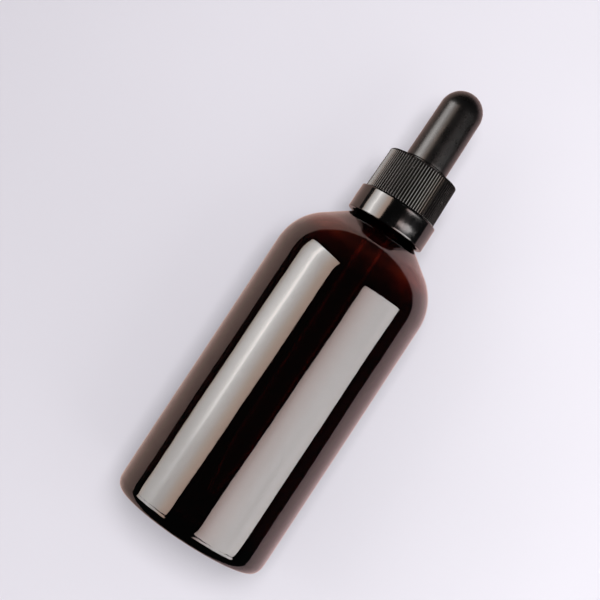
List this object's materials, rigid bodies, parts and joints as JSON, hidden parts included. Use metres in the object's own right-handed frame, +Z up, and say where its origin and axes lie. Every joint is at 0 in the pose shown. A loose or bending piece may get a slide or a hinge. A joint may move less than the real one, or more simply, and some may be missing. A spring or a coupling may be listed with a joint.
{
  "type": "dropper bottle",
  "caption": "Amber glass dropper bottle with a ribbed screw cap, tamper ring, rubber bulb and glass pipette for dispensing liquid drop by drop.",
  "frame": {"origin": "centre of the bottle's base, in the plane that the bearing ring rests on", "axes": "+Z up along the bottle's axis, towards the bulb; +X and +Y across it, with the thread starting at +X"},
  "size_m": [0.045, 0.045, 0.139],
  "materials": {
    "amber_glass": "clear amber moulded glass, glossy",
    "ring_plastic": "glossy black",
    "cap_plastic": "semi-matte black",
    "bulb_rubber": "satin black",
    "pipette_glass": "clear drawn glass"
  },
  "bodies": {
    "bottle": {"bottle": "amber_glass"},
    "tamper_ring": {"tamper_ring": "ring_plastic"},
    "dropper": {"rubber_bulb": "bulb_rubber", "glass_pipette": "pipette_glass"},
    "cap": {"screw_cap": "cap_plastic"}
  },
  "joints": [
    {"name": "tamper_ring_turn", "type": "hinge", "parent": "bottle", "child": "tamper_ring", "pos_m": [0, 0, 0.0992], "axis": [0, 0, 1], "continuous": true},
    {"name": "dropper_lift", "type": "slide", "parent": "bottle", "child": "dropper", "axis": [0, 0, 1], "range_m": [0, 0.115]},
    {"name": "cap_turn", "type": "hinge", "parent": "dropper", "child": "cap", "pos_m": [0, 0, 0.109], "axis": [0, 0, 1], "continuous": true}
  ],
  "couplings": [
    {"joint": "cap_turn", "follows": "dropper_lift", "rad_per_m": 2094.4}
  ]
}
